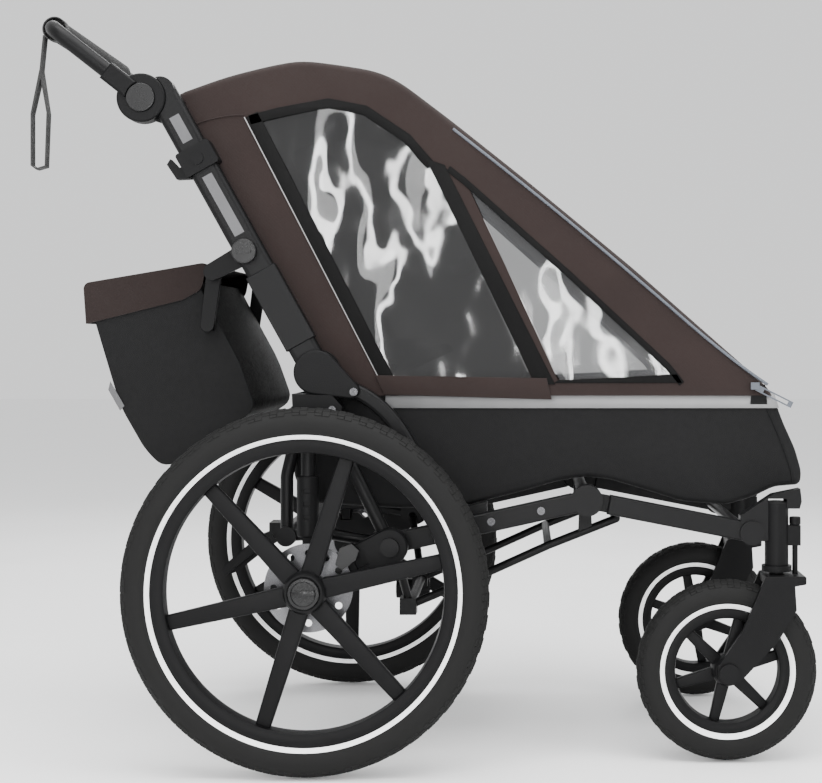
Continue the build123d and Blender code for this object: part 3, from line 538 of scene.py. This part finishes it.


# canopy
foldDown = dict(axis=(0, 0, 1), anchor=tuple(at(200, 0, 515)), keep=0.28)
hood = {
    "outline": [(34, 470), (34, 518), (7, 546), (-208, 934), (-124, 964), (-60, 980), (-18, 987), (38, 980),
                (86, 972), (120, 957), (194, 901), (296, 820), (450, 693), (601, 560), (651, 515),
                (655, 470)],
    "half": 205, "edge": 9, "wall": 2.2, "foot": 512.5,
    "sideWindow": [(100, 530), (-94, 898), (-80, 912), (20, 928), (72, 918), (132, 878), (168, 838),
                   (310, 530)],
    "frontSideWindow": [(212, 818), (356, 690), (500, 556), (520, 530), (346, 530), (268, 700)],
    "frontOpening": ((180, 912), (618, 545)), "frontFilm": ((194, 901), (601, 560)),
    "net": [(104, 534), (-88, 896), (-76, 908), (20, 924), (70, 914), (128, 875), (163, 836), (304, 534)],
    "filmLane": 203.4, "netLane": 199.5, "pipingLane": 205.6,
}


def cutter(bm, name):
    mesh = bpy.data.meshes.new(name)
    bmesh.ops.recalc_face_normals(bm, faces=bm.faces)
    bm.to_mesh(mesh)
    bm.free()
    tool = bpy.data.objects.new(name, mesh)
    bpy.context.scene.collection.objects.link(tool)
    return tool


def cutWith(piece, tools):
    for tool in tools:
        change = piece.modifiers.new("cut", "BOOLEAN")
        change.operation, change.solver, change.object = "DIFFERENCE", "EXACT", tool
    bakeModifiers(piece)
    for tool in tools:
        bpy.data.objects.remove(tool)


def makeHood():
    wall, half = hood["wall"], hood["half"]
    outer = rounded(hood["outline"], 26)
    piece = toPiece(addPillow(bmesh.new(), outer, half, hood["edge"]), "canopyHood", "chassis", "brown",
                    40)
    below = [(-100, 430), (800, 430), (800, hood["foot"]), (-100, hood["foot"])]
    tools = [cutter(addPrism(bmesh.new(), below, -240, 240), "below"),
             cutter(addPillow(bmesh.new(), inset(outer, wall), half - wall, hood["edge"] - 2), "hoodHollow")]
    for key in ("sideWindow", "frontSideWindow"):
        tools.append(cutter(addPrism(bmesh.new(), rounded(hood[key], 8), -260, 260), key + "Cut"))
    slope = [along(*hood["frontOpening"], share, offset) for share, offset in
             ((0.04, 30), (0.96, 30), (0.96, -22), (0.04, -22))]
    tools.append(cutter(addPrism(bmesh.new(), slope, -160, 160), "slopeCut"))
    cutWith(piece, tools)
    shadeByAngle(piece.data, 40)
    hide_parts("canopy_shell")
    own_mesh(piece)


def filmGrid(outline, y, step, wave, seed):
    xs, zs = [p[0] for p in outline], [p[1] for p in outline]
    middle = at((min(xs) + max(xs)) / 2, y, (min(zs) + max(zs)) / 2)
    bm = bmesh.new()
    wide, high = (max(xs) - min(xs)) / 1000, (max(zs) - min(zs)) / 1000
    bmesh.ops.create_grid(bm, x_segments=int(wide * 1000 / step), y_segments=int(high * 1000 / step),
                          size=0.5)
    upright = Matrix.Rotation(math.radians(90), 4, "X")
    shape = Matrix.Translation(middle) @ upright @ Matrix.Diagonal((wide, high, 1, 1))
    bmesh.ops.transform(bm, matrix=shape, verts=bm.verts)
    centre = (sum(xs) / len(xs), sum(zs) / len(zs))
    for a, b in zip(outline, outline[1:] + outline[:1]):
        normal = Vector((-(b[1] - a[1]), 0, b[0] - a[0])).normalized()
        if normal.dot(at(centre[0], y, centre[1]) - at(a[0], y, a[1])) > 0:
            normal = -normal
        bmesh.ops.bisect_plane(bm, geom=bm.verts[:] + bm.edges[:] + bm.faces[:], dist=1e-6,
                               plane_co=at(a[0], y, a[1]), plane_no=normal, clear_outer=True)
    for vert in bm.verts:
        spot = Vector((vert.co.x * 9 + seed, vert.co.z * 5, seed))
        vert.co.y += wave / 1000 * (noise.noise(spot) + 0.5 * noise.noise(spot * 2.3))
    return bm


def makeWindows(side, word):
    y = side * hood["filmLane"]
    for key, name, seed in (("sideWindow", "sideFilm", 3.1), ("frontSideWindow", "frontSideFilm", 8.7)):
        film = toPiece(filmGrid(hood[key], y, 6, 2.6, seed * side), f"{name}_{word}", "chassis",
                       "film" if key == "sideWindow" else "paintedShadeFilm", 180, outward=False)
        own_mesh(film)
        if side < 0:
            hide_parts("side_windows")
    net = toPiece(filmGrid(hood["net"], side * hood["netLane"], 14, 1.0, 5.0 * side), f"sideNet_{word}",
                  "chassis", "net", 180, outward=False)
    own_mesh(net)


def flatTrim(name, outline, side, word, finish, near, proud, soft=0.5):
    bm = addPrism(bmesh.new(), outline, side * near, side * (near + proud))
    outerY = side * (near + proud) / 1000
    rim = [e for e in bm.edges if all(abs(v.co.y - outerY) < 1e-6 for v in e.verts)]
    bevelEdges(bm, rim, soft, 2)
    piece = toPiece(bm, f"{name}_{word}", "chassis", finish, 40)
    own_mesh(piece)


trims = {
    "zipStrip": dict(finish="edging", near=205.2, proud=1.4,
                     outline=[(158, 846), (184, 838), (340, 528), (312, 528)]),
    "rearBand": dict(finish="edging", near=205.2, proud=0.9,
                     outline=[(-97, 905), (-80, 913), (116, 532), (94, 532)]),
    "whiteLine": dict(finish="band", near=205.2, proud=1.2,
                      outline=[(-99.4, 905), (-98, 905.7), (94.6, 532), (93, 532)]),
    "topBand": dict(finish="edging", near=205.2, proud=0.9, outline=bandOutline(
        [(-92, 903), (-50, 914), (20, 927), (72, 917), (132, 877), (166, 838)], 5, 9)),
    "slopeBand": dict(finish="edging", near=205.2, proud=0.8, outline=bandOutline(
        [(190, 834), (212, 817), (356, 689), (500, 555), (520, 530)], 3, 6)),
    "lowWedge": dict(finish="edging", near=205.2, proud=0.8,
                     outline=[(338, 530), (520, 530), (512, 543), (430, 538), (344, 534)]),
    "hem": dict(finish="brown", near=206.2, proud=1.5,
                outline=[(86, 541), (328, 537), (335, 507), (99, 514)]),
}


def makeTrims(side, word):
    for name, t in trims.items():
        flatTrim(name, t["outline"], side, word, t["finish"], t["near"], t["proud"])


def makeLine(name, points, radius, body, finish, fold=True):
    curve = bpy.data.curves.new(name, "CURVE")
    curve.dimensions, curve.bevel_depth, curve.bevel_resolution = "3D", radius / 1000, 3
    curve.use_fill_caps = True
    spline = curve.splines.new("NURBS")
    spline.points.add(len(points) - 1)
    for point, spot in zip(spline.points, points):
        point.co = (*at(*spot), 1)
    spline.order_u, spline.use_endpoint_u, spline.resolution_u = 3, True, 6
    holder = bpy.data.objects.new(name, curve)
    bpy.context.scene.collection.objects.link(holder)
    mesh = bpy.data.meshes.new_from_object(holder.evaluated_get(bpy.context.evaluated_depsgraph_get()))
    bpy.data.objects.remove(holder)
    mesh.materials.clear()
    mesh.materials.append(finishes[finish])
    shadeByAngle(mesh, 60)
    piece = bpy.data.objects.new(name, mesh)
    bpy.context.scene.collection.objects.link(piece)
    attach(piece, body)
    if fold:
        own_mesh(piece)


def makePiping(side, word):
    y = side * hood["pipingLane"]
    slope = [(196, y - side * 1, 889), (303, y, 805.5), (450, y, 683), (590, y, 561), (640, y, 528)]
    makeLine(f"slopePiping_{word}", slope, 2.1, "chassis", "piping")
    seam = [(-176, y, 893), (-150, y, 902), (-112, y, 909), (-100, y, 908)]
    makeLine(f"rearSeam_{word}", seam, 0.9, "chassis", "brown")


makeHood()
bothSides(makeWindows)
bothSides(makeTrims)
bothSides(makePiping)


def makeFrontFilm():
    start, end = [along(*hood["frontFilm"], share, -1.5) for share in (-0.03, 1.03)]
    bm = bmesh.new()
    bmesh.ops.create_grid(bm, x_segments=44, y_segments=26, size=0.5)
    long = math.hypot(end[0] - start[0], end[1] - start[1]) / 1000
    tilt = math.atan2(-(end[1] - start[1]), end[0] - start[0])
    middle = at((start[0] + end[0]) / 2, 0, (start[1] + end[1]) / 2)
    bmesh.ops.transform(bm, verts=bm.verts, matrix=Matrix.Translation(middle) @ Matrix.Rotation(tilt, 4, "Y")
                        @ Matrix.Diagonal((long, 0.33, 1, 1)))
    for vert in bm.verts:
        vert.co.z += 0.0012 * noise.noise(Vector((vert.co.x * 8, vert.co.y * 8, 4)))
    piece = toPiece(bm, "frontFilm", "chassis", "film", 180)
    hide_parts("front_window")
    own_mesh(piece)


makeFrontFilm()
print("canopy made")


# tub
tub = {
    "outline": [(-30, 515), (-30, 396), (-8, 360), (120, 352), (215, 356), (300, 378), (345, 391), (380, 397),
                (415, 394), (450, 384), (520, 362), (583, 357), (620, 368), (651, 383), (688, 386), (690, 404),
                (681, 436), (663, 476), (649, 515)],
    "half": 198, "edge": 8, "wall": 2.2,
    "band": [(100, 494.5), (657, 494.5), (650, 515.5), (100, 515.5)], "bandHalf": 199, "bandWall": 1.2,
}


def makeTub():
    bm = addPrism(bmesh.new(), tub["outline"], -tub["half"], tub["half"])
    bevelEdges(bm, [e for e in bm.edges if isCross(e) and e.verts[0].co.z < 0.51], 7, 3)
    rims = [e for e in bm.edges if abs(e.verts[0].co.y - e.verts[1].co.y) < 1e-5
            and any(abs(f.normal.y) > 0.9 for f in e.link_faces) and min(v.co.z for v in e.verts) < 0.514]
    bevelEdges(bm, rims, tub["edge"], 4)
    top = [f for f in bm.faces if f.normal.z > 0.95 and f.calc_center_median().z > 0.513]
    bmesh.ops.delete(bm, geom=top, context="FACES")
    piece = toPiece(bm, "tubBody", "chassis", "charcoal", 40)
    wall = piece.modifiers.new("wall", "SOLIDIFY")
    wall.thickness, wall.offset, wall.use_even_offset = tub["wall"] / 1000, -1, True
    bakeModifiers(piece)
    shadeByAngle(piece.data, 40)
    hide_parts("tub_shell")


def makeBand():
    bm = addPrism(bmesh.new(), tub["band"], -tub["bandHalf"], tub["bandHalf"])
    frontCorners = [e for e in bm.edges
                    if e.verts[0].co.x > 0.4 and abs(e.verts[0].co.y - e.verts[1].co.y) < 1e-5
                    and abs(e.verts[0].co.z - e.verts[1].co.z) > 0.01]
    bevelEdges(bm, frontCorners, 7, 4)
    drop = [f for f in bm.faces if abs(f.normal.z) > 0.95 or f.normal.x < -0.95]
    bmesh.ops.delete(bm, geom=drop, context="FACES")
    piece = toPiece(bm, "silverBand", "chassis", "band", 40, outward=False)
    wall = piece.modifiers.new("wall", "SOLIDIFY")
    wall.thickness, wall.offset = tub["bandWall"] / 1000, 1
    bakeModifiers(piece)


def makeTubSeam(side, word):
    y = side * 198.6
    seam = [(640, y, 493), (654, y, 462), (668, y, 425), (676, y, 398), (676, side * 198.4, 389)]
    makeLine(f"tubSeam_{word}", seam, 0.8, "chassis", "charcoal", fold=False)


makeTub()
makeBand()
bothSides(makeTubSeam)
print("tub made")


# seat
seat = {
    "backBase": (58.4, 522.3), "backTop": (2, 872), "backReach": 0.985, "backThickness": 26, "half": 160,
    "pan": [(-14, 458), (70, 446), (298, 457), (308, 466), (304, 480), (288, 487), (92, 473), (-12, 481)],
    "stands": ([(20, 361.3), (40, 360.1), (40, 452), (20, 452)],
               [(262, 371.3), (282, 376.5), (282, 460), (262, 460)]),
    "standHalf": 150,
    "ear": [(51, 460), (73, 460), (71, 506), (66, 510), (58, 510), (53, 506)], "earLanes": (165.6, 175.6),
    "wing": [(56, 506), (84, 504), (130, 544), (186, 574), (179, 590), (121, 600), (73, 590), (54, 558)],
    "wingHalf": 5.0, "wingLane": 187,
}


def makePad(name, outline, half, body, crown=5.0, lane=0.0):
    bm = addPrism(bmesh.new(), outline, lane - half, lane + half)
    bevelEdges(bm, bm.edges, 7, 3)
    piece = toPiece(bm, name, body, "seat", 50)
    soft = piece.modifiers.new("even", "REMESH")
    soft.mode, soft.voxel_size = "VOXEL", 0.007
    bakeModifiers(piece)
    swell(piece, crown)
    return piece


def swell(piece, most):  # blows the pad up a little with cloth pressure and keeps each point near its start
    mesh = piece.data
    start = [v.co.copy() for v in mesh.vertices]
    cloth = piece.modifiers.new("cloth", "CLOTH")
    cloth.settings.use_pressure, cloth.settings.uniform_pressure_force = True, 4
    cloth.settings.quality = 4
    cloth.settings.effector_weights.gravity = 0
    for step in range(1, 15):
        bpy.context.scene.frame_set(step)
    bakeModifiers(piece)
    bpy.context.scene.frame_set(1)
    mesh = piece.data
    for vert, old in zip(mesh.vertices, start):
        move = vert.co - old
        if move.length > most / 1000:
            vert.co = old + move.normalized() * most / 1000
    smooth = piece.modifiers.new("smooth", "SMOOTH")
    smooth.iterations, smooth.factor = 6, 0.5
    bakeModifiers(piece)
    mesh = piece.data
    mesh.materials.clear()
    mesh.materials.append(finishes["seat"])
    shadeByAngle(mesh, 180)


def beam(a, b, breadth):
    return [along(a, b, 0, breadth / 2), along(a, b, 1, breadth / 2), along(a, b, 1, -breadth / 2),
            along(a, b, 0, -breadth / 2)]


backEnd = along(seat["backBase"], seat["backTop"], seat["backReach"])
backShape = beam(seat["backBase"], backEnd, seat["backThickness"])
back = makePad("seatBackPad", backShape, seat["half"], "seat_back")
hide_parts("seat_back")
pan = makePad("seatPad", seat["pan"], seat["half"], "chassis")
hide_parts("seat_pan")


def makeSeatStand():  # two cross supports under the pad and the ears of the back's hinge
    bm = bmesh.new()
    for outline in seat["stands"]:
        addPrism(bm, outline, -seat["standHalf"], seat["standHalf"])
    for side in (-1, 1):
        addPrism(bm, seat["ear"], *[side * lane for lane in seat["earLanes"]])
    bevelEdges(bm, [e for e in bm.edges if isCross(e)], 1.5, 2)
    toPiece(bm, "seatStand", "chassis", "plastic", 40)


def makeWing(side, word):
    wing = makePad(f"sideWing_{word}", seat["wing"], seat["wingHalf"], "chassis", crown=3.0,
                   lane=side * seat["wingLane"])
    if side < 0:
        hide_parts("side_wings")


makeSeatStand()
bothSides(makeWing)
print("seat made")


# rear bag
bag = {
    "outline": [(-316, 615), (-280, 496), (-243, 431), (-216, 407), (-86, 492), (-110, 560), (-160, 652),
                (-172, 676), (-308, 658)],
    "half": 178, "wall": 2.0, "pivot": (-143, 687), "hangerFoot": (-153, 612),
    "hangerTab": [(-160, 604), (-146, 604), (-146, 620), (-160, 620)],
    "lid": [(-157, 702), (-333, 672), (-329, 614), (-192, 648), (-164, 663)], "lidHalf": 180.6,
    "lidWall": 2.2, "tag": [(-297, 520), (-294, 532), (-274, 497), (-280, 490)],
}


def makeBag():
    bm = addPrism(bmesh.new(), bag["outline"], -bag["half"], bag["half"])
    bevelEdges(bm, [e for e in bm.edges if isCross(e) and e.verts[0].co.z < 0.6], 16, 4)
    rims = [e for e in bm.edges if abs(e.verts[0].co.y - e.verts[1].co.y) < 1e-5
            and any(abs(f.normal.y) > 0.9 for f in e.link_faces) and min(v.co.z for v in e.verts) < 0.64]
    bevelEdges(bm, rims, 7, 3)
    top = [f for f in bm.faces if f.normal.z > 0.9 and f.calc_center_median().z > 0.65]
    bmesh.ops.delete(bm, geom=top, context="FACES")
    bmesh.ops.triangulate(bm, faces=[f for f in bm.faces if len(f.verts) > 4])
    for _ in range(3):
        longOnes = [e for e in bm.edges if e.calc_length() > 0.03]
        bmesh.ops.subdivide_edges(bm, edges=longOnes, cuts=1, use_grid_fill=True)
        bmesh.ops.triangulate(bm, faces=[f for f in bm.faces if len(f.verts) > 4])
    for vert in bm.verts:  # the cloth bellies a little and sags between its seams
        spot = vert.co * 7
        belly = max(0.0, 1 - abs(vert.co.z - 0.53) / 0.13)
        sideways = 1 if vert.co.y > 0 else -1
        if abs(vert.co.y) > (bag["half"] - 1) / 1000:
            vert.co.y += sideways * 0.004 * belly * (0.6 + 0.8 * noise.noise(spot + Vector((3, 0, 0))))
        else:
            vert.co.x -= 0.003 * belly * (0.5 + noise.noise(spot * 1.4))
    piece = toPiece(bm, "bagBody", "bag", "charcoal", 60)
    wall = piece.modifiers.new("wall", "SOLIDIFY")
    wall.thickness, wall.offset = bag["wall"] / 1000, -1
    bakeModifiers(piece)
    shadeByAngle(piece.data, 60)
    return piece


def makeLid():
    bm = addPrism(bmesh.new(), bag["lid"], -bag["lidHalf"], bag["lidHalf"])
    bevelEdges(bm, [e for e in bm.edges if isCross(e) and e.verts[0].co.z > 0.66], 8, 4)
    rims = [e for e in bm.edges
            if abs(e.verts[0].co.y - e.verts[1].co.y) < 1e-5 and min(v.co.z for v in e.verts) > 0.66
            and any(abs(f.normal.y) > 0.9 for f in e.link_faces)
            and any(f.normal.z > 0.4 for f in e.link_faces)]
    bevelEdges(bm, rims, 7, 4)
    under = [f for f in bm.faces if (f.normal.z < -0.2 and abs(f.normal.y) < 0.5) or f.normal.x > 0.8]
    bmesh.ops.delete(bm, geom=under, context="FACES")
    piece = toPiece(bm, "bagLid", "bag_lid", "lid", 50, outward=False)
    wall = piece.modifiers.new("wall", "SOLIDIFY")
    wall.thickness, wall.offset = bag["lidWall"] / 1000, -1
    bakeModifiers(piece)
    shadeByAngle(piece.data, 50)
    return piece


def ringPoints(centre, radius, start, sweep, steps=12):
    turns = [math.radians(start + sweep * k / steps) for k in range(steps + 1)]
    return [(centre[0] + radius * math.cos(turn), centre[1] + radius * math.sin(turn)) for turn in turns]


def makeHanger(side, word):  # the webbing ear that hangs the bag from its knob
    pivot, foot = bag["pivot"], bag["hangerFoot"]
    lean = math.degrees(math.atan2(pivot[1] - foot[1], pivot[0] - foot[0]))
    outline = ringPoints(pivot, 11, lean - 90, 180) + ringPoints(foot, 10, lean + 90, 180)
    bm = addPrism(bmesh.new(), outline, side * 190.6, side * 196.8)
    addPrism(bm, bag["hangerTab"], side * 176, side * 191)
    piece = toPiece(bm, f"bagHanger_{word}", "bag", "plastic", 40)
    edge = piece.modifiers.new("edge", "BEVEL")
    edge.width, edge.segments, edge.limit_method = 0.0009, 2, "ANGLE"
    bakeModifiers(piece)


bagBody = makeBag()
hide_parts("bag_shell")
bothSides(makeHanger)
lid = makeLid()
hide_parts("bag_flap")
toPiece(addPrism(bmesh.new(), bag["tag"], -181.5, -180.6), "bagTag", "bag", "strip", 40)
print("bag made")


# finishes on the remaining frame parts
carried = {
    "powder": ["frame_rails", "rear_crossbeam", "underframe_hoop", "side_legs", "curved_arms", "front_rails",
               "uprights", "roof_bow", "handle_tube"],
    "plastic": ["pod_housings", "upright_joints", "handle_hubs", "release_slider_right",
                "release_slider_left", "front_fork_right", "front_fork_left", "steering_heads",
                "lock_pin_right", "lock_pin_left", "swing_arm_right", "swing_arm_left",
                "strut_sleeve_right", "strut_sleeve_left", "brake_pedal", "bow_pins", "tow_arm_socket"],
    "gloss": ["handle_button_right", "handle_button_left", "bag_lock_knob_right", "bag_lock_knob_left",
              "brake_caliper_right", "brake_caliper_left"],
    "steel": ["brake_rotor_right", "brake_rotor_left", "frame_fixings"],
    "foam": ["handle_grip"], "strip": ["upright_strips"], "web": ["wrist_strap"],
    "piping": ["zip_puller_right", "zip_puller_left"],
}
for finish, names in carried.items():
    for name in names:
        nodes[name].data.materials.clear()
        nodes[name].data.materials.append(finishes[finish])
print("frame parts finished")

# floor
floorBm = bmesh.new()
bmesh.ops.create_grid(floorBm, x_segments=1, y_segments=1, size=14)
floorMesh = bpy.data.meshes.new("floor")
floorBm.to_mesh(floorMesh)
floorBm.free()
floor = bpy.data.objects.new("floor", floorMesh)
floor.location.z = -0.0015
bpy.context.scene.collection.objects.link(floor)
floorFinish = Finish("paleFloor", (0.93, 0.93, 0.93), 0.5)
floorFinish.feed("Roughness", floorFinish.ramp(floorFinish.cloud(3), 0.3, 0.7, 0.42, 0.58))
floorMesh.materials.append(floorFinish.material)
